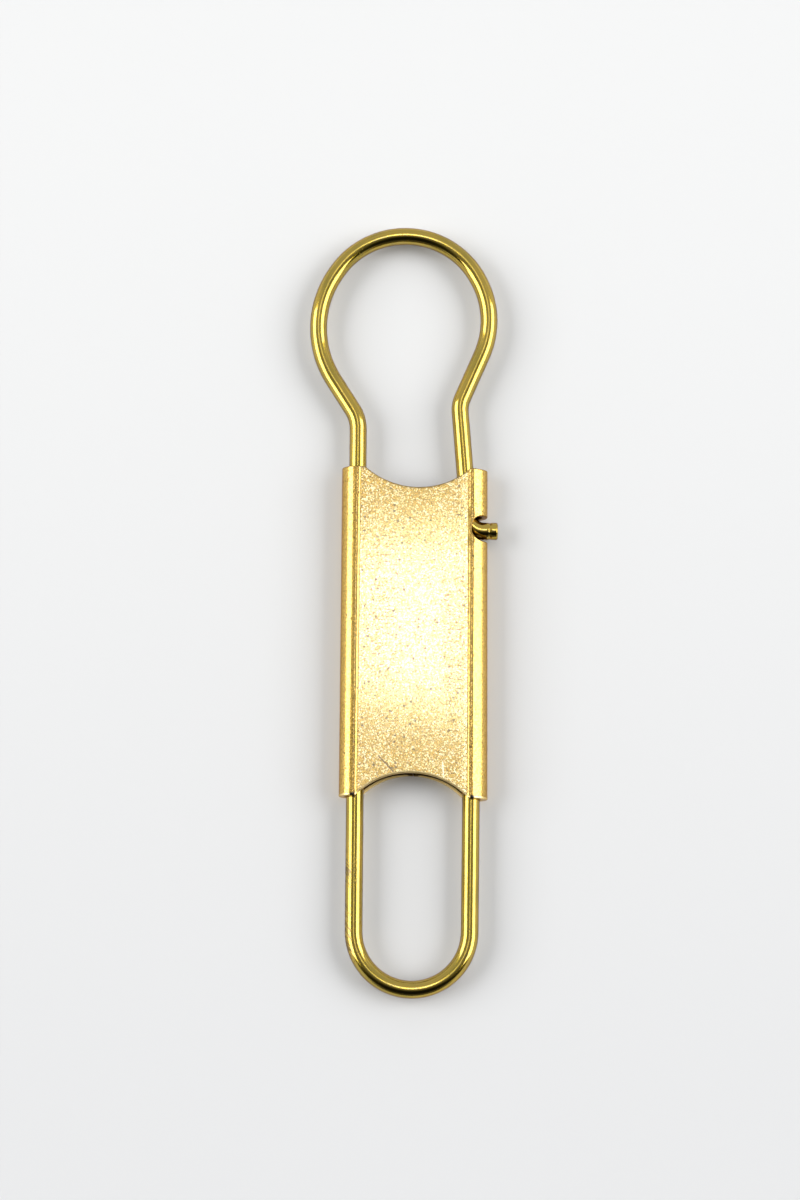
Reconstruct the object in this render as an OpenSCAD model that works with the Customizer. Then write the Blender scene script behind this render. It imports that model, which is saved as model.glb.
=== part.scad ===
// Belt key clip: a spring wire bent to a hook bow and a key loop, held shut by a sliding sleeve.
// It lies flat. +Y runs towards the hook bow and +Z is the thickness. The origin is the middle of
// the sleeve's back face, so the sleeve's mid length is y = 0 and its underside is z = 0.

/* [Wire] */
// Diameter of the round spring wire
wire_d = 2.3; // [1.8:0.1:2.6]
// Distance between the centrelines of the two straight legs
leg_pitch = 15.2; // [14:0.1:17]
// Chamfer on the two cut ends of the wire
end_chamfer = 0.25; // [0.1:0.05:0.6]

/* [Hook bow] */
// How far the bow's widest point stands above the sleeve's top end
bow_rise = 20.9; // [18:0.05:26]
// How far the wire's centreline reaches to the right of the sleeve's middle at that point
bow_reach = 9.9; // [9:0.05:12]
// Bend radius of the bow's right shoulder
right_shoulder_r = 12.2; // [11:0.1:14]
// Bend radius over the top of the bow
crown_r = 11; // [9:0.1:12.5]
// Bend radius of the bow's left shoulder
left_shoulder_r = 13.8; // [12.5:0.1:16]
// Turn of the right shoulder above the widest point, in degrees
right_shoulder_turn = 28.6; // [20:0.1:36]
// Turn over the crown, in degrees
crown_turn = 116.2; // [105:0.1:125]
// Short straight left between two bends of the bow
bend_land = 0.3; // [0.2:0.05:1]
// How far the left flank slants in towards the neck, in degrees
left_flank_slant = 32.2; // [28:0.1:40]
// How far the right flank slants in towards the neck, in degrees
right_flank_slant = 23.2; // [18:0.1:30]
// Bend radius of the neck on the left leg
left_neck_r = 5.1; // [4:0.1:7]
// Bend radius of the neck on the right arm
right_neck_r = 4.1; // [3:0.1:6]

/* [Arm and nib] */
// How far the arm leans outwards below its neck, in degrees
arm_lean = 4.6; // [3:0.1:7]
// How far the arm's centreline stays inside its roll where the nib begins
arm_inset = 0.4; // [0.1:0.05:0.6]
// Distance from the sleeve's top end down to the nib's axis
nib_drop = 8.15; // [6:0.05:14]
// Bend radius of the nib
nib_bend_r = 2; // [1.6:0.1:2.4]
// How far the nib stands proud of the sleeve's edge
nib_proud = 1.35; // [1:0.05:2]

/* [Key loop] */
// Straight length of each leg between the sleeve's lower end and the loop's bend
loop_leg = 17.1; // [12:0.1:24]
// How much of the loop's free end the sleeve covers
loop_cover = 5; // [3:0.1:6]

/* [Sleeve] */
// Length of the sleeve
sleeve_l = 44; // [36:0.5:52]
// Thickness of the brass sheet
sheet_t = 0.75; // [0.5:0.05:1]
// Clearance all round a leg inside its roll
leg_clear = 0.2; // [0.17:0.01:0.3]
// How far the front panel is pressed in below the rolls
panel_dish = 0.15; // [0.05:0.01:0.16]
// Width of the crease between a roll and the front panel
crease_w = 0.55; // [0.2:0.05:0.8]
// Depth of the hollow cut in the end towards the hook bow
top_hollow_depth = 2.7; // [2:0.05:4]
// How far inside the rolls' centrelines that hollow starts
top_hollow_inset = 0.6; // [0:0.05:1]
// Depth of the hollow cut in the end towards the key loop
low_hollow_depth = 3.15; // [2:0.05:4]
// How far inside the rolls' centrelines that hollow starts
low_hollow_inset = 0.15; // [0:0.05:1]
// Length of the notch along the sleeve's edge
notch_l = 3.4; // [3.1:0.05:4.5]
// How far the notch reaches in from the sleeve's edge
notch_reach = 2.25; // [2:0.05:2.6]
// How far the notch's middle lies above the nib's axis
notch_lead = 0.12; // [0:0.01:0.2]
// Gap of the butt seam down the middle of the back
seam_gap = 0.15; // [0.1:0.05:0.4]

/* [Hidden] */
$fn = 64;

wire_r = wire_d / 2;
leg_x = leg_pitch / 2;
// Facing down, to the right and up, as headings in degrees from +X
down = 270;
right = 0;
up = 90;

// The roll is the half-round edge that the sheet makes round a leg, with its centre on the leg's axis
roll_bore_r = wire_r + leg_clear;
roll_r = roll_bore_r + sheet_t;
sleeve_t = 2 * roll_r;
sleeve_edge_x = leg_x + roll_r;
sleeve_top_y = sleeve_l / 2;
// How far a cut runs past the faces that it opens
overrun = 1;

// A bend is drawn this much fatter than a straight, as a bent wire swells, and each straight runs
// this far into the bends at its ends, so that the two are one solid
bend_swell = 0.004;
straight_lap = 0.05;

// Where a bend ends, measured from where it starts: radius, first heading, turn (left is positive)
function bend_travel(r, heading, turn) =
    sign(turn) * r * [sin(heading + turn) - sin(heading), cos(heading) - cos(heading + turn)];
function facing(heading) = [cos(heading), sin(heading)];
function across(a, b) = a.x * b.y - a.y * b.x;

// The bow's widest point on the right, where the arm flexes from the frame
bow_side = [bow_reach, sleeve_top_y + bow_rise];

// The left run goes up from there over the crown and down to the left leg's neck
left_neck_slope = down + left_flank_slant;
left_shoulder_turn = left_neck_slope - up - right_shoulder_turn - crown_turn;
crown_start = bow_side + bend_travel(right_shoulder_r, up, right_shoulder_turn)
    + bend_land * facing(up + right_shoulder_turn);
crown_end = crown_start + bend_travel(crown_r, up + right_shoulder_turn, crown_turn)
    + bend_land * facing(up + right_shoulder_turn + crown_turn);
left_flank_start = crown_end
    + bend_travel(left_shoulder_r, left_neck_slope - left_shoulder_turn, left_shoulder_turn);
left_neck = bend_travel(left_neck_r, left_neck_slope, -left_flank_slant);
left_flank_l = (-leg_x - left_flank_start.x - left_neck.x) / cos(left_neck_slope);
left_leg_top = left_flank_start + left_flank_l * facing(left_neck_slope) + left_neck;

// The key loop is a half turn between the legs
loop_centre_y = -sleeve_top_y - loop_leg;
left_leg_l = left_leg_top.y - loop_centre_y;

// The arm's flank and its leaning leg meet at the neck, and the leg ends where the nib's bend starts
arm_slope = down + arm_lean;
right_flank_slope = down - right_flank_slant;
right_flank_start = bow_side + bend_travel(right_shoulder_r, down, -right_flank_slant);
nib_axis_y = sleeve_top_y - nib_drop;
nib_bend = bend_travel(nib_bend_r, arm_slope, 360 - arm_slope);
arm_end = [leg_x - arm_inset, nib_axis_y - nib_bend.y];
arm_span = arm_end - right_flank_start;
neck_turn = right_flank_slant + arm_lean;
neck_tangent = right_neck_r * tan(neck_turn / 2);
neck_across = across(facing(right_flank_slope), facing(arm_slope));
right_flank_l = across(arm_span, facing(arm_slope)) / neck_across - neck_tangent;
arm_leg_l = across(facing(right_flank_slope), arm_span) / neck_across - neck_tangent;
nib_l = sleeve_edge_x + nib_proud - arm_end.x - nib_bend.x;

notch_r = notch_l / 2;
notch_x = sleeve_edge_x - notch_reach + notch_r;
notch_y = nib_axis_y + notch_lead;

brass_wire = "#a8935a";
brass_sheet = "#c9ad6b";

// One bend of the wire from the origin, first facing +Y. A positive turn goes left.
module wire_bend(r, turn) {
    translate([-sign(turn) * r, 0, 0])
        mirror([turn < 0 ? 1 : 0, 0, 0])
            rotate_extrude(angle = abs(turn))
                translate([r, 0, 0]) circle(r = wire_r + bend_swell);
}

// The wire as a bender makes it: each step is [straight length, bend radius, turn], in order
module wire_run(steps, i = 0) {
    if (i < len(steps)) {
        straight = steps[i][0];
        r = steps[i][1];
        turn = steps[i][2];
        if (straight > 0)
            translate([0, i == 0 ? 0 : -straight_lap, 0])
                rotate([-90, 0, 0])
                    cylinder(h = straight + (i == 0 ? 1 : 2) * straight_lap, r = wire_r);
        translate([0, straight, 0]) {
            wire_bend(r, turn);
            translate([-sign(turn) * r, 0, 0])
                rotate([0, 0, turn])
                    translate([sign(turn) * r, 0, 0])
                        children_or_run(steps, i + 1) children();
        }
    }
}

// What follows a step: the next step, or after the last one whatever ends the run
module children_or_run(steps, i) {
    if (i < len(steps))
        wire_run(steps, i) children();
    else
        children();
}

// A straight with a chamfered end, along +Y
module wire_end(length) {
    rotate([-90, 0, 0])
        rotate_extrude()
            polygon([
                [0, -straight_lap], [wire_r, -straight_lap], [wire_r, length - end_chamfer],
                [wire_r - end_chamfer, length], [0, length]
            ]);
}

// Places a run in the wire's plane, first facing the heading
module wire_from(place, heading) {
    translate([place.x, place.y, roll_r])
        rotate([0, 0, heading - 90])
            children();
}

// Over the bow, down the left leg through the sleeve, and half round the key loop
module wire_frame() {
    color(brass_wire)
        wire_from(bow_side, up)
            wire_run([
                [0, right_shoulder_r, right_shoulder_turn],
                [bend_land, crown_r, crown_turn],
                [bend_land, left_shoulder_r, left_shoulder_turn],
                [left_flank_l, left_neck_r, -left_flank_slant],
                [left_leg_l, leg_x, 90]
            ]);
}

// From the bow's side in to the neck and down into the sleeve, where it springs out against the roll
module hook_arm() {
    color(brass_wire)
        wire_from(bow_side, down) {
            wire_run([
                [0, right_shoulder_r, -right_flank_slant],
                [right_flank_l, right_neck_r, neck_turn]
            ])
                translate([0, -straight_lap, 0])
                    rotate([-90, 0, 0])
                        cylinder(h = arm_leg_l + straight_lap, r = wire_r);
        }
}

// The arm's end, turned outwards through the notch
module latch_nib() {
    color(brass_wire)
        wire_from(arm_end, arm_slope)
            wire_run([[0, nib_bend_r, 360 - arm_slope]])
                wire_end(nib_l);
}

// The other half of the key loop and the short leg whose end the sleeve covers
module loop_arm() {
    color(brass_wire)
        wire_from([0, loop_centre_y - leg_x], right)
            wire_run([[0, leg_x, 90]])
                wire_end(loop_leg + loop_cover);
}

// Half-round rolls joined by panels. The front one lies lower by the dish. Drawn across the sleeve.
module sleeve_section(roll, dish) {
    low = roll_r - roll;
    high = roll_r + roll;
    for (side = [-1, 1])
        translate([side * leg_x, roll_r, 0]) circle(r = roll);
    polygon([
        [-leg_x, low], [leg_x, low], [leg_x, high], [leg_x - crease_w, high - dish],
        [crease_w - leg_x, high - dish], [-leg_x, high]
    ]);
}

// The round punch that hollows the end on one side of y = 0, to a depth, over half a width each way
module end_hollow(side, depth, half_w) {
    punch_r = (half_w * half_w + depth * depth) / (2 * depth);
    translate([0, side * (sleeve_top_y + punch_r - depth), -overrun])
        cylinder(h = sleeve_t + 2 * overrun, r = punch_r);
}

// The folded tube, its hollowed ends, the nib's notch and the seam at the back
module sleeve() {
    color(brass_sheet)
        difference() {
            rotate([90, 0, 0])
                linear_extrude(height = sleeve_l, center = true)
                    difference() {
                        sleeve_section(roll_r, panel_dish);
                        sleeve_section(roll_bore_r, panel_dish);
                    }
            end_hollow(1, top_hollow_depth, leg_x - top_hollow_inset);
            end_hollow(-1, low_hollow_depth, leg_x - low_hollow_inset);
            translate([notch_x, notch_y, -overrun]) {
                cylinder(h = sleeve_t + 2 * overrun, r = notch_r);
                translate([0, -notch_r, 0])
                    cube([roll_r + overrun, notch_l, sleeve_t + 2 * overrun]);
            }
            translate([-seam_gap / 2, -sleeve_l / 2 - overrun, -overrun])
                cube([seam_gap, sleeve_l + 2 * overrun, overrun + sheet_t + leg_clear]);
        }
}

wire_frame();
hook_arm();
latch_nib();
loop_arm();
sleeve();
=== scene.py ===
import bpy
import numpy as np
from mathutils import Matrix, Vector


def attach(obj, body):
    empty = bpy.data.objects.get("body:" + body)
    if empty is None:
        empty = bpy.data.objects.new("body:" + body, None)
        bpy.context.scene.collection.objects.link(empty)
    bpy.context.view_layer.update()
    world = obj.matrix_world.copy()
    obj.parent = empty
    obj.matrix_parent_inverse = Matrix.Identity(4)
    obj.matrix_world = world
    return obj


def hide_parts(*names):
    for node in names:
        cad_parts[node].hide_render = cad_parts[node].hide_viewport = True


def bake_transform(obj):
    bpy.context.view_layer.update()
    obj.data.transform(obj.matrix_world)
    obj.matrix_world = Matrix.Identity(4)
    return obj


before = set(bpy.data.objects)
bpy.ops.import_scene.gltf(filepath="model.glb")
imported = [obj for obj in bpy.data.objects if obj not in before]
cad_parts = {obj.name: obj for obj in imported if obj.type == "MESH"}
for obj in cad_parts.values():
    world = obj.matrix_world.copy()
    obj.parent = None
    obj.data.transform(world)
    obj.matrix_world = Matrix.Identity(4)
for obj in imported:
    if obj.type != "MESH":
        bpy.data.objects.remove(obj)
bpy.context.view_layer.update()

# Bow wire. Hard-drawn brass spring wire, bent cold round pins into the left leg, the neck, the round
# hook bow and the right arm, whose end is turned out as the latch nib. It starts inside the sleeve,
# where the left leg runs on, so the cut between this piece and the loop wire is never seen.
MM = 0.001
WIRE_R = 1.15
WIRE_Z = 2.1
LEG_X = 7.6

# From the sleeve's middle to the nib: straights in millimetres, bends as radius and turn in degrees.
LEFT_LEG = 27.729
LEFT_NECK = (5.1, 32.2)
LEFT_FLANK = 4.819
LEFT_SHOULDER = (13.8, -67.4)
CROWN = (11.0, -116.2)
RIGHT_SHOULDER = (12.2, -51.8)
RIGHT_FLANK = 6.503
RIGHT_NECK = (4.1, 27.8)
ARM = 14.533
NIB_BEND = (2.0, 85.4)
NIB = 1.856
BEND_LAND = 0.3
NO_BEND = (0.0, 0.0)

# The cropped end: its rounding, and the waist that cropping leaves so far back from it.
END_ROUND = 0.24
NIB_WAIST_DEPTH = 0.075
WAIST_BACK = 1.05
WAIST_WIDTH = 0.16
WAIST_REACH = 3 * WAIST_WIDTH

# Rings: their distance and number of points, how many model the waist and the rounding, and the shares
# of its radius at which the flat face has more.
RING_STEP = 0.22
WIRE_SIDES = 60
WAIST_RINGS = 18
RIM_RINGS = 7
FACE_SHARES = np.array([0.8, 0.55, 0.3])


def bent_route(start, heading, steps, spacing):
    """Centreline of a bent wire from the bender's table: straight length, bend radius, turn in degrees.

    The heading stays level along a straight and grows evenly along a bend. Each short stretch moves on by
    the chord of its arc, length * sin(h / 2) / (h / 2) for a turn h, in the direction of its mean heading.
    """
    table = np.array(steps, float)
    turns = np.radians(table[:, 2])
    lengths = np.stack([table[:, 0], table[:, 1] * np.abs(turns)], axis=1).ravel()
    turned_by = np.stack([0 * turns, turns], axis=1).ravel()
    knots = np.concatenate([[0.0], np.cumsum(lengths)])
    at_knots = np.radians(heading) + np.concatenate([[0.0], np.cumsum(turned_by)])
    along = np.linspace(0, knots[-1], int(np.ceil(knots[-1] / spacing)) + 1)
    headings = np.interp(along, knots, at_knots)
    turned = np.diff(headings)
    middle = headings[:-1] + turned / 2
    chord = np.diff(along) * np.sinc(turned / (2 * np.pi))
    moves = chord[:, None] * np.stack([np.cos(middle), np.sin(middle)], axis=1)
    places = np.array(start, float) + np.concatenate([np.zeros((1, 2)), np.cumsum(moves, axis=0)])
    return along, places, headings


def wire_rings(along, waist_depth):
    """Where rings stand along the wire and how wide they are: the full radius, then at the far end a
    quarter round, WIRE_R - END_ROUND * (1 - cos a) at the distance END_ROUND * sin a, and a flat face.

    The waist narrows the wire by waist_depth * exp(-(d / WAIST_WIDTH)^2) at d from its middle.
    """
    length = along[-1]
    waist_at = length - WAIST_BACK
    plain = along[along < waist_at - WAIST_REACH]
    waisted = np.linspace(waist_at - WAIST_REACH, length - END_ROUND, WAIST_RINGS, endpoint=False)
    waisted_r = WIRE_R - waist_depth * np.exp(-(((waisted - waist_at) / WAIST_WIDTH) ** 2))
    quarter = np.linspace(0, np.pi / 2, RIM_RINGS)
    rim = length - END_ROUND + END_ROUND * np.sin(quarter)
    rim_r = WIRE_R - END_ROUND + END_ROUND * np.cos(quarter)
    face_r = (WIRE_R - END_ROUND) * FACE_SHARES
    places = np.concatenate([plain, waisted, rim, np.full(len(face_r), length)])
    return places, np.concatenate([np.full(len(plain), WIRE_R), waisted_r, rim_r, face_r])


def put_mesh(name, points, faces, marks=None):
    """A smooth mesh piece from points in millimetres, with an optional vector that follows the surface."""
    mesh = bpy.data.meshes.new(name)
    mesh.from_pydata((points * MM).tolist(), [], faces)
    mesh.polygons.foreach_set("use_smooth", np.ones(len(mesh.polygons), bool))
    if marks is not None:
        attribute = mesh.attributes.new("marks", "FLOAT_VECTOR", "POINT")
        attribute.data.foreach_set("vector", marks.astype(np.float32).ravel())
    mesh.update()
    piece = bpy.data.objects.new(name, mesh)
    bpy.context.scene.collection.objects.link(piece)
    return piece


def wire_piece(name, route, waist_depth, first_mark):
    """A round wire along a flat route. At heading h the ring's point at angle a lies off the centreline by
    radius * (cos a * (sin h, -cos h, 0) + sin a * up), and both ends close on a middle point.

    The vector kept with each point is the wire as drawn, before bending: across, up and length along it.
    """
    along, places, headings = route
    at, radii = wire_rings(along, waist_depth)
    x, y = np.interp(at, along, places[:, 0]), np.interp(at, along, places[:, 1])
    h = np.interp(at, along, headings)
    a = np.linspace(0, 2 * np.pi, WIRE_SIDES, endpoint=False)
    side, up = radii[:, None] * np.cos(a), radii[:, None] * np.sin(a)
    points = np.stack([
        x[:, None] + side * np.sin(h)[:, None],
        y[:, None] - side * np.cos(h)[:, None],
        WIRE_Z + up,
    ], axis=2).reshape(-1, 3)
    marked_at = at + first_mark
    straight = np.stack([side, up, np.broadcast_to(marked_at[:, None], side.shape)], axis=2)
    cap_points = np.array([[x[0], y[0], WIRE_Z], [x[-1], y[-1], WIRE_Z]])
    cap_marks = np.array([[0, 0, marked_at[0]], [0, 0, marked_at[-1]]])

    ring, spoke = np.arange(len(at) - 1)[:, None] * WIRE_SIDES, np.arange(WIRE_SIDES)
    after = (spoke + 1) % WIRE_SIDES
    next_ring = ring + WIRE_SIDES
    quads = np.stack([ring + spoke, next_ring + spoke, next_ring + after, ring + after], axis=2)
    last_ring, near_cap, far_cap = ring[-1] + WIRE_SIDES, len(points), len(points) + 1
    fans = np.concatenate([
        np.stack([np.full(WIRE_SIDES, near_cap), spoke, after], axis=1),
        np.stack([np.full(WIRE_SIDES, far_cap), last_ring + after, last_ring + spoke], axis=1),
    ])
    faces = quads.reshape(-1, 4).tolist() + fans.tolist()
    marks = np.concatenate([straight.reshape(-1, 3), cap_marks])
    return put_mesh(name, np.concatenate([points, cap_points]), faces, marks)


class Field:
    """A number, colour or direction that varies over a surface: one socket of a finish's node tree.

    Sums of fields add their Math nodes, so 1 - wear * 0.5 reads as written. node() adds any other node:
    its type, then its settings, then the values or fields of its sockets, and which output is taken.
    """

    def __init__(self, tree, socket=None):
        self.tree, self.socket = tree, socket

    def node(self, kind, settings, sockets, out=0):
        made = self.tree.nodes.new("ShaderNode" + kind)
        for key, value in settings.items():
            setattr(made, key, value)
        for key, value in sockets.items():
            if isinstance(value, Field):
                self.tree.links.new(value.socket, made.inputs[key])
            else:
                made.inputs[key].default_value = value
        return Field(self.tree, made.outputs[out] if made.outputs else None)

    def maths(self, operation, *values):
        return self.node("Math", {"operation": operation}, dict(enumerate(values)))

    def __add__(self, other):
        return self.maths("ADD", self, other)

    __radd__ = __add__

    def __mul__(self, other):
        return self.maths("MULTIPLY", self, other)

    __rmul__ = __mul__

    def __sub__(self, other):
        return self.maths("SUBTRACT", self, other)

    def __rsub__(self, other):
        return self.maths("SUBTRACT", other, self)

    def __abs__(self):
        return self.maths("ABSOLUTE", self)

    def rise(self, low, high):
        """0 below low, 1 above high, smooth between; low may be the larger, for a fall."""
        return self.node("MapRange", {"interpolation_type": "SMOOTHSTEP"},
                         {"Value": self, "From Min": low, "From Max": high})

    def band(self, starts, full, fades, ends):
        """1 from full to fades, 0 before starts and after ends, smooth between."""
        return self.rise(starts, full) * self.rise(ends, fades)

    def stretched(self, x, y, z):
        """The direction or place with its three parts scaled, so that a pattern runs long or fine."""
        return self.node("VectorMath", {"operation": "MULTIPLY"}, {0: self, 1: (x, y, z)})

    def noise(self, scale, detail, roughness=0.5):
        return self.node("TexNoise", {}, {"Vector": self, "Scale": scale, "Detail": detail,
                                          "Roughness": roughness})

    def cells(self, scale, out="Distance"):
        """Random cells: the distance from the nearest cell's middle, or its Color, three random numbers."""
        return self.node("TexVoronoi", {}, {"Vector": self, "Scale": scale}, out)

    def tint(self, low, high):
        """A colour that goes from low to high as this mask goes from 0 to 1; either may be a field.

        Sockets 6 and 7 and output 2 are a Mix node's colours."""
        return self.node("Mix", {"data_type": "RGBA"}, {0: self, 6: low, 7: high}, 2)

    def parts(self):
        return [self.node("SeparateXYZ", {}, {0: self}, out) for out in range(3)]


def finish_on(piece, name, build, constant):
    """Gives the piece a finish: build fills the sockets that vary, constant ones are set on the shader."""
    material = bpy.data.materials.new(name)
    material.use_nodes = True
    material.node_tree.nodes.clear()
    blank = Field(material.node_tree)
    shader = blank.node("BsdfPrincipled", {}, {**constant, **build(blank)})
    blank.node("OutputMaterial", {}, {"Surface": shader})
    piece.data.materials.append(material)


def marks_on(blank):
    """The vector that put_mesh keeps with each point, in millimetres."""
    return blank.node("Attribute", {"attribute_name": "marks"}, {}, "Vector")


def srgb(r, g, b):
    """A colour written as 0 to 255 on a screen, as the linear light that a shader takes: a share s of 255
    becomes ((s + 0.055) / 1.055)^2.4, or s / 12.92 near black."""
    share = np.array([r, g, b]) / 255
    linear = np.where(share <= 0.04045, share / 12.92, ((share + 0.055) / 1.055) ** 2.4)
    return (*linear.tolist(), 1.0)


WIRE_BRIGHT = srgb(188, 158, 44)
WIRE_OLIVE = srgb(157, 137, 22)
WIRE_BROWN = srgb(84, 62, 14)
WIRE_RIM = srgb(150, 112, 20)
LACQUERED = {"Metallic": 1.0, "Specular Tint": WIRE_RIM,
             "Coat Weight": 0.58, "Coat Roughness": 0.04, "Coat IOR": 1.9}

# How often a pattern repeats in a millimetre across, up and along the wire.
DRAWN_LINES = (9, 9, 0.5)
FINE_LINES = (22, 22, 2.2)
OLIVE_PATCHES = (0.5, 0.5, 0.16)
PITS = (1.6, 1.6, 1.1)
PIT_CLOUDS = (0.4, 0.4, 0.25)
RUN_PITS = (1, 1, 0.8)
NICK_ACROSS, NICK_ALONG = 0.5, 1.7

# How far along the wire a nick slants for each millimetre across it.
NICK_SLANT = 1.2

# Bands of marks, along the wire or across it: where one starts, is full, fades and ends.
GRIPPED = (188.0, 190.0, 202.0, 204.0)
PIT_RUN = (189.5, 190.1, 193.2, 193.8)
PIT_RUN_ACROSS = (-0.5, -0.35, -0.1, 0.05)

# The wire's outer and upper sides and its underside: where a mark on one begins and is full.
OUTER_SIDE = (0.1, 0.5)
UPPER_SIDE = (0.0, 0.5)
UNDERSIDE = (0.5, -0.3)

# How deep the drawn lines look.
LINE_DEPTH = 0.03 * MM


def drawn_brass(blank):
    """Drawn and lightly lacquered brass: fine lines run along the wire, with pits and olive patches.

    On one stretch the bender's jaw has left slanting nicks on the outer side, and there is a run of pits.
    """
    drawn = marks_on(blank)
    across, up, along = drawn.parts()
    lines = drawn.stretched(*DRAWN_LINES).noise(1.0, 3.0, 0.6)
    fine = drawn.stretched(*FINE_LINES).noise(1.0, 2.0)
    patches = drawn.stretched(*OLIVE_PATCHES).noise(1.0, 3.0, 0.6).rise(0.42, 0.66)

    pits_here = drawn.stretched(*PIT_CLOUDS).noise(1.0, 1.0).rise(0.5, 0.6)
    pits = drawn.stretched(*PITS).cells(1.0).rise(0.16, 0.05) * pits_here
    slanting = blank.node("CombineXYZ", {}, {
        0: across * NICK_ACROSS, 1: up * NICK_ACROSS, 2: (along + across * NICK_SLANT) * NICK_ALONG,
    })
    gripped = slanting.noise(1.0, 2.0, 0.6).rise(0.52, 0.62) * along.band(*GRIPPED)
    nicks = gripped * across.rise(*OUTER_SIDE)
    run_here = along.band(*PIT_RUN) * across.band(*PIT_RUN_ACROSS) * up.rise(*UPPER_SIDE)
    run = drawn.stretched(*RUN_PITS).noise(4.0, 2.0, 0.6).rise(0.5, 0.58) * run_here
    pitting = pits + nicks + run

    rubbed = (patches * 0.7).tint(WIRE_BRIGHT, WIRE_OLIVE)
    # The wire's underside is painted browner, as painted shade where it faces the shaded table.
    shaded_underside = (up.rise(*UNDERSIDE) * 0.35).tint(rubbed, WIRE_BROWN)
    lined = (lines.rise(0.5, 0.78) * 0.3).tint(shaded_underside, WIRE_BROWN)
    height = lines * 0.5 + fine * 0.35 - pitting * 1.4
    return {
        "Base Color": (pitting * 0.7).tint(lined, WIRE_BROWN),
        "Roughness": 0.1 + lines * 0.06 + patches * 0.05 + pitting * 0.3,
        "Normal": blank.node("Bump", {}, {"Strength": 0.2, "Distance": LINE_DEPTH, "Height": height}),
    }


bow_route = bent_route((-LEG_X, 0), 90, [
    (LEFT_LEG, *LEFT_NECK),
    (LEFT_FLANK, *LEFT_SHOULDER),
    (BEND_LAND, *CROWN),
    (BEND_LAND, *RIGHT_SHOULDER),
    (RIGHT_FLANK, *RIGHT_NECK),
    (ARM, *NIB_BEND),
    (NIB, *NO_BEND),
], RING_STEP)
bow_wire = wire_piece("bow_wire", bow_route, NIB_WAIST_DEPTH, 0.0)
finish_on(bow_wire, "drawn_brass_bow", drawn_brass, LACQUERED)
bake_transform(bow_wire)
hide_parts("wire_frame", "hook_arm", "latch_nib")

# Loop wire. The same wire below the cut: the left leg comes out of the sleeve's lower end, turns half
# round as the key loop and goes back up, leaning out a little, to stop inside the right roll.
LOOP_LEG = 39.1
LOOP_BEND = (7.5, 179.5)
LOOP_FREE = 22.1

# The loop's drawn lines, pits and nicks are counted from here along the wire as it was drawn.
LOOP_FIRST_MARK = 160.0

loop_route = bent_route((-LEG_X, 0), -90, [(LOOP_LEG, *LOOP_BEND), (LOOP_FREE, *NO_BEND)], RING_STEP)
loop_wire = wire_piece("loop_wire", loop_route, 0.0, LOOP_FIRST_MARK)
finish_on(loop_wire, "drawn_brass_loop", drawn_brass, LACQUERED)
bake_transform(loop_wire)
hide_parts("loop_arm")

# Sleeve. A blank of sheet brass, sheared with a hollow in each end and a slot for the nib, then rolled
# round both legs: half-round rolls at the edges, the front panel pressed in between them, and a butt
# seam down the middle of the back. Its face is fine sand-grained, and painted paler in the middle as a
# painted highlight, where the lamps' reflection lies.
SHEET = 0.75
EDGE_ROUND = 0.14
ROLL_R = 2.1
ROLL_MID = ROLL_R - SHEET / 2
SLEEVE_HALF = 22.0
SEAM_GAP = 0.06
SKEW = 0.25

# A hollow: its depth, half its width, and how far its middle lies to the right.
TOP_HOLLOW = (2.7, 7.0, 0.3)
LOW_HOLLOW = (3.15, 7.45, -0.15)
BACK_NARROWER = 0.5

# The front: lip and fillet of a crease, how far the creases turn and slant, how many degrees before the
# roll's crown the left lip begins, and the panel's pillow.
LIP_R = 0.39
FILLET_R = 0.8
LEFT_CREASE_TURN = 28.0
LEFT_LIP_EARLY = 6.0
RIGHT_CREASE_TURN = 24.0
CREASE_SLANT = 0.0045
PILLOW = 0.07

# The right roll's facet, as radius and turn, the turn left above it, and what pressing it does inside.
FACET = (5.0, 13.0)
FACET_TOP = 22.0
CORE_R = 1.345
MOST_COINED = 0.2
COINED_FROM = 0.3

# The slot for the nib: its middle along the sleeve, half its width, and where its round end starts.
NOTCH_Y = 13.97
NOTCH_R = 1.7
NOTCH_X = 9.15


def cosine(degrees):
    return np.cos(np.radians(degrees))


def sine(degrees):
    return np.sin(np.radians(degrees))


def drop(turn):
    """How far a lip and a fillet that each turn so far come down: (LIP_R + FILLET_R) * (1 - cos turn)."""
    return (LIP_R + FILLET_R) * (1 - cosine(turn))


# The fold, as a bending table in the plane across the sleeve: along the back, round the right roll, whose
# shoulder is pressed to a slanting facet, over its lip and down the crease, along the front, up the steeper
# left crease and over its lip, and back by the left roll. Both lips stand equally high.
FOLD_STEP = 0.01
lip_height = ROLL_MID + (ROLL_MID - LIP_R) * cosine(LEFT_LIP_EARLY) + LIP_R
right_slope = (drop(LEFT_CREASE_TURN) - drop(RIGHT_CREASE_TURN)) / sine(RIGHT_CREASE_TURN)
lip_from = 180 - FACET_TOP
facet_from = lip_from - FACET[1]
facet_rise = FACET[0] * (cosine(facet_from) - cosine(lip_from))
lip_rise = LIP_R * (cosine(lip_from) + 1)
shoulder_r = (lip_height - ROLL_MID - facet_rise - lip_rise) / -cosine(facet_from)
seam_start = (SEAM_GAP / 2, SHEET / 2)
back_half = LEG_X - SEAM_GAP / 2
roll_steps = [
    (back_half, ROLL_MID, 90.0),
    (0, shoulder_r, facet_from - 90),
    (0, *FACET),
    (0, LIP_R, FACET_TOP + RIGHT_CREASE_TURN),
    (right_slope, FILLET_R, -RIGHT_CREASE_TURN),
]
right_along, right_places, _ = bent_route(seam_start, 0, roll_steps, FOLD_STEP)
left_crown = -LEG_X - (ROLL_MID - LIP_R) * sine(LEFT_LIP_EARLY)
panel_left = left_crown + (LIP_R + FILLET_R) * sine(LEFT_CREASE_TURN)
panel_w = right_places[-1, 0] - panel_left
panel_mid = right_along[-1] + panel_w / 2
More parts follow.
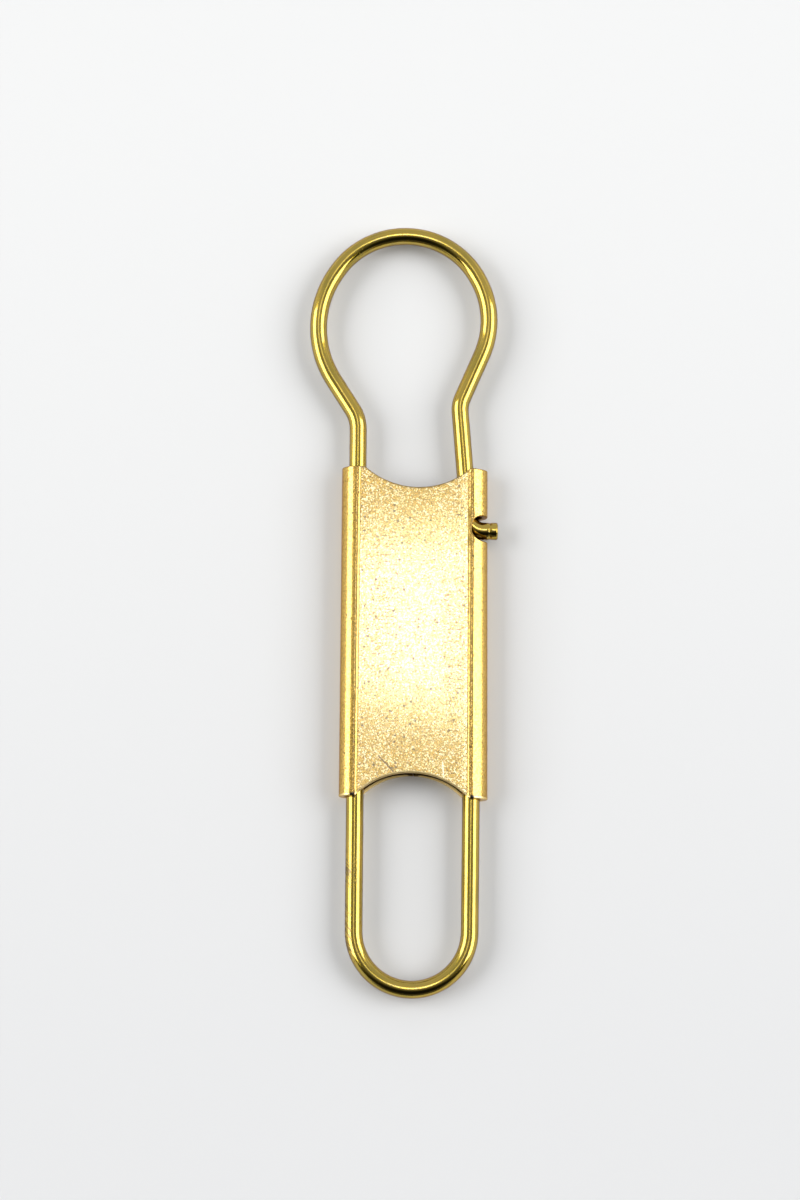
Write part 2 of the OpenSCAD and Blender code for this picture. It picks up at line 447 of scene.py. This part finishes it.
fold_steps = roll_steps + [
    (panel_w, FILLET_R, -LEFT_CREASE_TURN),
    (0, LIP_R, LEFT_CREASE_TURN + LEFT_LIP_EARLY),
    (0, ROLL_MID, 180 - LEFT_LIP_EARLY),
    (back_half, *NO_BEND),
]
fold_along, fold_places, fold_headings = bent_route(seam_start, 0, fold_steps, FOLD_STEP)
blank_w = fold_along[-1]


def fold_place(fold, out):
    """Where a point of the blank lies across the folded sleeve: the fold's line there, plus the distance
    out along its outward normal (sin h, -cos h), h being the line's heading."""
    h = np.interp(fold, fold_along, fold_headings)
    x = np.interp(fold, fold_along, fold_places[:, 0]) + out * np.sin(h)
    return x, np.interp(fold, fold_along, fold_places[:, 1]) - out * np.cos(h)


def end_reach(fold, hollow):
    """How far the sheet reaches from mid length there. The hollow is an arc of depth d and half width w,
    so its radius is (w^2 + d^2) / (2 d). On the back, w is BACK_NARROWER less, so that the back's edge
    shows below the front's."""
    depth, half_w, middle = hollow
    x, z = fold_place(fold, 0)
    half_w = half_w - BACK_NARROWER * (z < ROLL_R)
    r = (half_w**2 + depth**2) / (2 * depth)
    off_middle = np.minimum(np.abs(x - middle), half_w)
    return SLEEVE_HALF - depth + r - np.sqrt(r**2 - off_middle**2)


def sheet_point(fold, y, out):
    """The folded sheet. Its front panel stands up a little in the middle, as a low pillow of height
    PILLOW * (1 - (y / SLEEVE_HALF)^2) * (1 - s^2), s running from -1 to 1 across the panel. The creases
    slant, so that x grows by CREASE_SLANT * y on the front and not at all below the rolls' middle, and the
    whole sleeve sits askew: y grows by SKEW * (LEG_X - x) / (2 LEG_X)."""
    x, z = fold_place(fold, out)
    x = x + CREASE_SLANT * y * np.clip(z / ROLL_R - 1, 0, 1)
    across = (fold - panel_mid) / (panel_w / 2)
    pillow = PILLOW * (1 - (y / SLEEVE_HALF) ** 2) * np.maximum(1 - across**2, 0)
    return np.stack([x, y + SKEW * (LEG_X - x) / (2 * LEG_X), z + pillow], axis=-1)


def half_thickness(edge):
    """Half the sheet's thickness at a distance from its nearest sheared edge, which is a quarter round:
    SHEET / 2 - EDGE_ROUND + sqrt(EDGE_ROUND^2 - (EDGE_ROUND - edge)^2)."""
    near = EDGE_ROUND - np.minimum(edge, EDGE_ROUND)
    return SHEET / 2 - EDGE_ROUND + np.sqrt(EDGE_ROUND**2 - near**2)


def coined(fold):
    """How much the facet's pressing thins the sheet from inside, so that the hollow of the right roll
    stays round for the nib: CORE_R less the distance from the leg's axis to the inner face."""
    x, z = fold_place(fold, -SHEET / 2)
    missing = CORE_R - np.hypot(x - LEG_X, z - ROLL_R)
    return np.clip(missing, 0, MOST_COINED) * np.clip((x - LEG_X) / COINED_FROM, 0, 1)


def notch_half(fold):
    """Half the slot's width there: NOTCH_R, then a round end, sqrt(NOTCH_R^2 - (NOTCH_X - x)^2)."""
    x = fold_place(fold, SHEET / 2)[0]
    return np.sqrt(np.maximum(NOTCH_R**2 - np.maximum(NOTCH_X - x, 0) ** 2, 0))


# Columns of the blank from seam to seam, closer where the sheet turns and at its rounded edges, and rows
# along its length. COLUMN_GAP is their distance where the sheet is flat, and each radian of turn adds
# COLUMNS_A_RADIAN columns, up to MOST_ADDED in a millimetre.
EDGE_STEPS = np.array([0, 0.008, 0.03, 0.065, 0.1, EDGE_ROUND])
EDGE_CLEAR = 1.4 * EDGE_ROUND
COLUMN_GAP = 0.26
COLUMNS_A_RADIAN = 7
MOST_ADDED = 12
MIDDLE_ROWS = 171

half_step = FOLD_STEP / 2
turning = np.interp(fold_along[:-1] + half_step, fold_along, np.gradient(fold_headings, fold_along))
density = 1 / COLUMN_GAP + np.minimum(np.abs(turning) * COLUMNS_A_RADIAN, MOST_ADDED)
count = np.concatenate([[0], np.cumsum(density * np.diff(fold_along))])
inner_folds = np.interp(np.linspace(0, count[-1], int(count[-1])), count, fold_along)
inner_folds = inner_folds[(inner_folds > EDGE_CLEAR) & (inner_folds < blank_w - EDGE_CLEAR)]
fold_at = np.concatenate([EDGE_STEPS, inner_folds, blank_w - EDGE_STEPS[::-1]])

low_end, top_end = -end_reach(fold_at, LOW_HOLLOW)[:, None], end_reach(fold_at, TOP_HOLLOW)[:, None]
level = np.linspace(-1, 1, MIDDLE_ROWS)
y = np.concatenate([
    low_end + EDGE_STEPS[None, :-1],
    (low_end + top_end) / 2 + level * ((top_end - low_end) / 2 - EDGE_ROUND),
    (top_end - EDGE_STEPS[None, :-1])[:, ::-1],
], axis=1)
fold = np.repeat(fold_at[:, None], y.shape[1], axis=1)
edge = np.minimum(np.minimum(y - low_end, top_end - y), np.minimum(fold, blank_w - fold))
number = np.arange(y.size).reshape(y.shape)

# The slot's window: the grid's cells there give way to rings from the slot's edge out to the window. The
# edge is found on each ray from the slot's middle by halving.
NOTCH_FOLD = back_half + ROLL_MID * np.pi / 2
WINDOW_HALF_W = 3.7
WINDOW_HALF_L = 2.5
HALVINGS = 30
FAR_RINGS = 7

left_col, right_col = np.searchsorted(fold_at, [NOTCH_FOLD - WINDOW_HALF_W, NOTCH_FOLD + WINDOW_HALF_W])
middle_rows = y[(left_col + right_col) // 2]
low_row, high_row = np.searchsorted(middle_rows, [NOTCH_Y - WINDOW_HALF_L, NOTCH_Y + WINDOW_HALF_L])
window = np.concatenate([
    number[left_col:right_col, low_row],
    number[right_col, low_row:high_row],
    number[right_col:left_col:-1, high_row],
    number[left_col, high_row:low_row:-1],
])
ray = np.stack([fold.ravel()[window] - NOTCH_FOLD, y.ravel()[window] - NOTCH_Y], axis=1)
ray_l = np.linalg.norm(ray, axis=1)
inside, outside = np.zeros(len(window)), np.ones(len(window))
for _ in range(HALVINGS):
    middle = (inside + outside) / 2
    open_there = np.abs(ray[:, 1]) * middle < notch_half(NOTCH_FOLD + ray[:, 0] * middle)
    inside, outside = np.where(open_there, middle, inside), np.where(open_there, outside, middle)
near_steps = EDGE_STEPS[:, None] / (ray_l * (1 - inside))
far_steps = near_steps[-1] + (1 - near_steps[-1]) * np.linspace(0, 1, FAR_RINGS + 2)[1:-1, None]
ring_share = inside + (1 - inside) * np.concatenate([near_steps, far_steps])
ring_fold = NOTCH_FOLD + ray[:, 0] * ring_share
ring_y = NOTCH_Y + ray[:, 1] * ring_share
ring_edge = (ring_share - inside) * ray_l

# The sheet's two faces and the rims that join them at the ends, the seam and the slot. The vector kept
# with each point is its place on the blank, from the seam and along it, and how far it is from an edge.
blank_fold = np.concatenate([fold.ravel(), ring_fold.ravel()])
blank_y = np.concatenate([y.ravel(), ring_y.ravel()])
blank_edge = np.concatenate([edge.ravel(), ring_edge.ravel()])
half = half_thickness(blank_edge)
outer = sheet_point(blank_fold, blank_y, half)
inner = sheet_point(blank_fold, blank_y, coined(blank_fold) - half)
points = np.concatenate([outer, inner])
marks = np.tile(np.stack([blank_fold, blank_y, blank_edge], axis=1), (2, 1))

cells = np.stack([number[:-1, :-1], number[1:, :-1], number[1:, 1:], number[:-1, 1:]], axis=2)
kept = np.ones(cells.shape[:2], bool)
kept[left_col:right_col, low_row:high_row] = False
rings = np.concatenate([number.size + np.arange(ring_share.size).reshape(ring_share.shape), window[None]])
turned = np.roll(rings, -1, axis=1)
ring_cells = np.stack([rings[:-1], rings[1:], turned[1:], turned[:-1]], axis=2).reshape(-1, 4)
skin = np.concatenate([cells[kept], ring_cells])
slot_edge = np.append(rings[0], rings[0, 0])
borders = [number[:, 0], number[::-1, -1], number[-1, :], number[0, ::-1], slot_edge[::-1]]
below = len(outer)
rims = np.concatenate([np.stack([b[1:], b[:-1], b[:-1] + below, b[1:] + below], axis=1) for b in borders])
quads = np.concatenate([skin, skin[:, ::-1] + below, rims])
used = np.unique(quads)
renumber = np.zeros(len(points), int)
renumber[used] = np.arange(len(used))
sleeve = put_mesh("key_sleeve", points[used], renumber[quads].tolist(), marks[used])

SLEEVE_GOLD = srgb(216, 178, 86)
SLEEVE_PALE = srgb(248, 223, 156)
SLEEVE_DULL = srgb(172, 144, 68)
SLEEVE_WHITE = srgb(255, 242, 202)
SLEEVE_TAN = srgb(182, 142, 50)
SLEEVE_BROWN = srgb(132, 101, 31)
SLEEVE_DARK = srgb(84, 58, 18)
SLEEVE_RIM = srgb(214, 170, 40)
# The near black below is painted shade, inside the back and at the creases' feet.
SHADE_DARK = srgb(26, 18, 6)
BURNISHED = {"Metallic": 1.0, "Specular Tint": SLEEVE_RIM,
             "Coat Weight": 0.6, "Coat Roughness": 0.14, "Coat IOR": 1.7}

# Bands of marks on the sleeve, in millimetres: where one starts, is full, fades and ends.
PANEL_X = (-7.3, -7.1, 6.9, 7.1)
LEFT_CREASE_X = (-8.25, -8.1, -7.75, -7.6)
RIGHT_CREASE_X = (7.15, 7.3, 7.65, 7.8)
LEFT_FOOT_X = (-8.4, -8.15, -7.75, -7.45)
RIGHT_FOOT_X = (7.3, 7.5, 7.8, 8.0)
LEFT_RUB_X, LEFT_RUB_Y = (-5.9, -5.2, -2.8, -1.6), (-8.0, -5.0, 13.0, 15.5)
RIGHT_RUB_X, RIGHT_RUB_Y = (3.4, 4.2, 6.3, 6.9), (-12.0, -9.0, 6.0, 8.5)
BACK_INSIDE_Z = (0.68, 0.74, 1.0, 1.2)
OFF_SEAM = (0.4, 0.8, blank_w - 0.8, blank_w - 0.4)

# Where other marks begin and are full: up from the table, across, along the blank from its middle, and
# in from a sheared edge.
FRONT_Z = (3.2, 3.6)
PALE_RIGHT_X = (5.6, 6.9)
LOW_FRONT_ALONG, LOW_FRONT_Z = (0.0, -5.0), (1.0, 2.0)
LOW_BACK_ALONG, LOW_BACK_Z = (-14.0, -16.0), (1.2, 1.0)
BACK_INSIDE_X = (6.6, 6.3)
FOOT_ALONG = (-21.45, -21.75)
PALE_EDGE = (0.34, 0.2)
BROWN_EDGE = (0.17, 0.1)

# The pale strip on the back's low edge, a painted highlight, which is wider by this times the distance
# from the middle.
STRIP_EDGE = (0.12, 0.02)
STRIP_WIDENING = 0.06

# The panel's middle is painted pale as painted highlight, and its ends dull as painted shade. The dull
# ends begin and are full where the distance from PALE_Y, with up to DULL_SHIFT added by clouds and
# DULL_SLANT times x taken off, reaches DULL_END.
PALE_Y = 1.5
DULL_END = (8.0, 20.0)
DULL_SHIFT = 5
DULL_SLANT = 0.12

# Lines on the front, as start, end and half width: two scratches, and one that stands up bright.
SCRATCHES = [((-4.7, -16.4), (-2.3, -18.9), 0.1), ((5.5, 15.65), (6.5, 15.6), 0.07)]
RAISED_LINE = ((3.8, -17.0), (3.95, -19.7), 0.075)

# How often a pattern repeats in a millimetre of the sheet.
GRAIN = 4.4
SAND = 6.4
DULL_CLOUDS = 0.35
CREASE_PATCHES = 4.6
SPECKS = 0.85
DASHES = (0.6, 3.4, 0)

# How deep the sanded grain looks.
GRAIN_DEPTH = 0.025 * MM


def place_on(blank):
    """The place on a piece, in millimetres."""
    return blank.node("TexCoord", {}, {}, "Object").stretched(1 / MM, 1 / MM, 1 / MM)


def scratch(x, y, start, end, width):
    """1 on a thin line from start to end that fades at both: its distance from the line through them is
    |(x - ax)(by - ay) - (y - ay)(bx - ax)| / length."""
    run, rise = end[0] - start[0], end[1] - start[1]
    length = float(np.hypot(run, rise))
    off = abs((x - start[0]) * (rise / length) - (y - start[1]) * (run / length))
    along = (x - start[0]) * (run / length**2) + (y - start[1]) * (rise / length**2)
    return off.rise(width, width / 2) * along.band(0.0, 0.15, 0.8, 1.0)


def sanded_brass(blank):
    """Sheet brass with a fine sanded grain, rubbed columns of dashes and scratches, and painted light: a
    pale middle, white glints, patchy crease shade that is partly soil, and lit or shaded edges.
    """
    place = place_on(blank)
    x, y, z = place.parts()
    from_seam, along, edge = marks_on(blank).parts()
    front = z.rise(*FRONT_Z)
    panel = x.band(*PANEL_X) * front

    # The panel is painted pale in its middle and by the right crease, as painted highlight where the lamps'
    # reflection lies, and dull towards both ends, as painted shade.
    clouds = place.stretched(1, 0.5, 1).noise(DULL_CLOUDS, 3.0, 0.6)
    ends = (abs(y - PALE_Y) + clouds * DULL_SHIFT - x * DULL_SLANT).rise(*DULL_END)
    painted_right_sheen = x.rise(*PALE_RIGHT_X) * front * 0.6
    gold = (panel * 0.95).tint(SLEEVE_GOLD, (ends * (1 - painted_right_sheen)).tint(SLEEVE_PALE, SLEEVE_DULL))

    # Sanded grain in tan and brown grains, bright grains painted near white as painted glints, and two
    # rubbed columns with fine dashes.
    grain = place.noise(GRAIN, 3.0, 0.75)
    sand, chip, glint = place.cells(SAND, "Color").parts()
    rubs = x.band(*LEFT_RUB_X) * y.band(*LEFT_RUB_Y) + x.band(*RIGHT_RUB_X) * y.band(*RIGHT_RUB_Y)
    rubbed = rubs * front
    drawn_out = place.stretched(*DASHES)
    some = drawn_out.cells(1.0, "Color").parts()[0].rise(0.36, 0.44)
    dashes = drawn_out.cells(1.0).rise(0.36, 0.18) * some * rubbed
    tan_grains = sand.rise(0.5, 0.72) * (0.6 + ends * 0.2 + rubbed * 0.15)
    brown_grains = chip.rise(0.74, 0.86) * grain.rise(0.42, 0.54) * (0.5 + ends * 0.4)
    painted_glints = glint.rise(0.7, 0.82) * panel * (0.6 - ends * 0.1)
    sanded = tan_grains.tint(gold, SLEEVE_TAN)
    sanded = brown_grains.tint(sanded, SLEEVE_BROWN)
    sanded = painted_glints.tint(sanded, SLEEVE_WHITE)
    sanded = (scratch(x, y, *RAISED_LINE) * front).tint(sanded, SLEEVE_WHITE)
    sanded = (dashes * 0.65).tint(sanded, SLEEVE_BROWN)

    # Painted shade in broken patches along the creases, together with soil there, and dark specks and
    # scratches on the front.
    crease = (x.band(*RIGHT_CREASE_X) + x.band(*LEFT_CREASE_X)) * front
    crease_shade_and_soil = crease * place.stretched(1, 0.8, 1).noise(CREASE_PATCHES, 2.0, 0.6).rise(0.46, 0.56)
    specks = place.cells(SPECKS).rise(0.16, 0.09) * front * 0.8
    for line in SCRATCHES:
        specks = specks + scratch(x, y, *line) * front
    crease_shaded = (crease_shade_and_soil * 0.6).tint(sanded, SLEEVE_BROWN)
    marked = (specks * 0.85).tint(crease_shaded, SLEEVE_DARK)

    # Sheared edges are painted brown as painted shade, and pale on the lower front and along the back's low
    # end as painted highlight. What lies inside behind that pale strip is painted near black as painted
    # shade, and so are the creases' feet, where shadow gathers.
    low_front = along.rise(*LOW_FRONT_ALONG) * z.rise(*LOW_FRONT_Z)
    low_back = along.rise(*LOW_BACK_ALONG) * z.rise(*LOW_BACK_Z) * from_seam.band(*OFF_SEAM)
    low_strip_sheen = low_back * (edge - abs(x) * STRIP_WIDENING).rise(*STRIP_EDGE)
    shaded_edges = edge.rise(*BROWN_EDGE) * (1 - low_front) * (1 - low_back)
    edge_sheen_and_shade = edge.rise(*PALE_EDGE) * low_front + shaded_edges + low_strip_sheen
    back_inside_shade = abs(x).rise(*BACK_INSIDE_X) * z.band(*BACK_INSIDE_Z) * (1 - low_strip_sheen)
    crease_foot_shade = (x.band(*LEFT_FOOT_X) + x.band(*RIGHT_FOOT_X)) * front * along.rise(*FOOT_ALONG)
    edge_sheen_shade_colour = (low_front + low_back).tint(SLEEVE_BROWN, SLEEVE_PALE)
    edge_painted = (edge_sheen_and_shade * (0.7 + low_back * 0.3)).tint(marked, edge_sheen_shade_colour)

    grain_dull = 0.18 + grain.rise(0.4, 0.7) * 0.07 + ends * 0.02
    height = grain + sand * 0.5 - specks - crease_shade_and_soil * 0.5
    return {
        "Base Color": (crease_foot_shade + back_inside_shade * 0.85).tint(edge_painted, SHADE_DARK),
        "Roughness": grain_dull + crease_shade_and_soil * 0.2 + edge_sheen_and_shade * (0.12 + low_back * 0.3) + crease_foot_shade * 0.4,
        "Normal": blank.node("Bump", {}, {"Strength": 0.45, "Distance": GRAIN_DEPTH, "Height": height}),
    }


finish_on(sleeve, "sanded_brass_sleeve", sanded_brass, BURNISHED)
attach(sleeve, "slider")
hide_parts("sleeve")

# Table. A wide sheet of matt white paper that the clip lies on. It is painted greyer on the near side,
# as painted shade where the camera stands in the light.
FLOOR_HALF = 6000.0
PAPER_NEAR_SHADED = srgb(221, 221, 221)
PAPER_FAR = srgb(232, 232, 231)
SHADE_Y = 90

corners = np.array([[-1, -1, 0], [1, -1, 0], [1, 1, 0], [-1, 1, 0]]) * FLOOR_HALF
table_top = put_mesh("table_top", corners, [[0, 1, 2, 3]])


def white_paper(blank):
    """Matt paper, painted a little greyer towards the camera's foot as painted shade."""
    y = place_on(blank).parts()[1]
    return {"Base Color": y.rise(-SHADE_Y, SHADE_Y).tint(PAPER_NEAR_SHADED, PAPER_FAR)}


finish_on(table_top, "white_paper", white_paper, {"Roughness": 0.9, "Specular IOR Level": 0.1})


# Light. Two wide softboxes stand left and right, and a strip and a small lamp hang almost overhead, on
# the hook's side, for the band of light that runs down the sleeve's panel.
def softbox(name, azimuth, elevation, distance, width, height, glow):
    """A flat lamp that faces the clip. glow is its brightness as seen, where 1 is white: the power is
    glow * pi * width * height. Azimuth 0 is +X and 90 is +Y. Lengths are in metres."""
    away = cosine(elevation)
    place = Vector((cosine(azimuth) * away, sine(azimuth) * away, sine(elevation))) * distance
    lamp = bpy.data.lights.new(name, "AREA")
    lamp.shape = "RECTANGLE"
    lamp.size, lamp.size_y = width, height
    lamp.energy = float(glow * np.pi * width * height)
    stand = bpy.data.objects.new(name, lamp)
    stand.matrix_world = Matrix.Translation(place) @ place.to_track_quat("Z", "Y").to_matrix().to_4x4()
    bpy.context.scene.collection.objects.link(stand)


softbox("box_left", azimuth=176, elevation=34, distance=4.0, width=3.2, height=2.5, glow=4.6)
softbox("box_right", azimuth=4, elevation=37, distance=4.0, width=3.2, height=2.5, glow=4.6)
softbox("strip_top", azimuth=90, elevation=79.0, distance=4.0, width=0.8, height=1.7, glow=1.15)
softbox("lamp_top", azimuth=90, elevation=79.7, distance=3.9, width=0.42, height=0.36, glow=6.3)

# Room. A grey ceiling, paler beyond the clip, a white band low on both sides, and the dark of the room
# behind the camera: what the brass mirrors. side, depth and height are the parts of a direction.
CEILING = srgb(154, 155, 156)
FAR_CEILING = srgb(226, 228, 231)
WHITE_WALL = srgb(248, 250, 254)
DARK_ROOM = srgb(24, 24, 24)
FAR_DEPTH = (0.1, 0.45)
BEHIND_DEPTH, BEHIND_HEIGHT = (0.0, -0.5), (0.25, 0.45)
NEAR_DEPTH = (-0.6, -0.9)
WALL_SIDE, WALL_HEIGHT = (0.4, 0.75), (0.4, 0.25)

world = bpy.data.worlds.new("studio")
world.use_nodes = True
world.node_tree.nodes.clear()
air = Field(world.node_tree)
side, depth, height = air.node("TexCoord", {}, {}, "Generated").parts()
far_side = depth.rise(*FAR_DEPTH)
behind_camera = depth.rise(*BEHIND_DEPTH) * height.rise(*BEHIND_HEIGHT)
near_side = air.maths("MAXIMUM", behind_camera, depth.rise(*NEAR_DEPTH) * 0.7)
low_band = abs(side).rise(*WALL_SIDE) * height.rise(*WALL_HEIGHT)
tent = low_band.tint((far_side * 0.85).tint(CEILING, FAR_CEILING), WHITE_WALL)
backdrop = air.node("Background", {}, {"Color": near_side.tint(tent, DARK_ROOM)})
air.node("OutputWorld", {}, {"Surface": backdrop})
bpy.context.scene.world = world

# Camera. It looks down at the clip from 37 cm, a little from the key loop's side and turned by a third
# of a degree, as the photograph was taken. Places are in millimetres.
CAMERA_AT = Vector((-1.43, -65.7, 363.2)) * MM
CAMERA_AIM = Vector((-1.87, 4.9, 0.0)) * MM
CAMERA_RIGHT = Vector((0.99998, 0.00618, 0.0))
LENS = 83.46
SENSOR = 36
NEAREST = 10 * MM

forward = (CAMERA_AIM - CAMERA_AT).normalized()
right = (CAMERA_RIGHT - forward * CAMERA_RIGHT.dot(forward)).normalized()
facing = Matrix((right, right.cross(forward), -forward)).transposed().to_4x4()
eye = bpy.data.cameras.new("camera")
eye.lens, eye.sensor_width, eye.clip_start = LENS, SENSOR, NEAREST
camera = bpy.data.objects.new("camera", eye)
camera.matrix_world = Matrix.Translation(CAMERA_AT) @ facing
bpy.context.scene.collection.objects.link(camera)
bpy.context.scene.camera = camera
bpy.context.scene.view_settings.view_transform = "Standard"
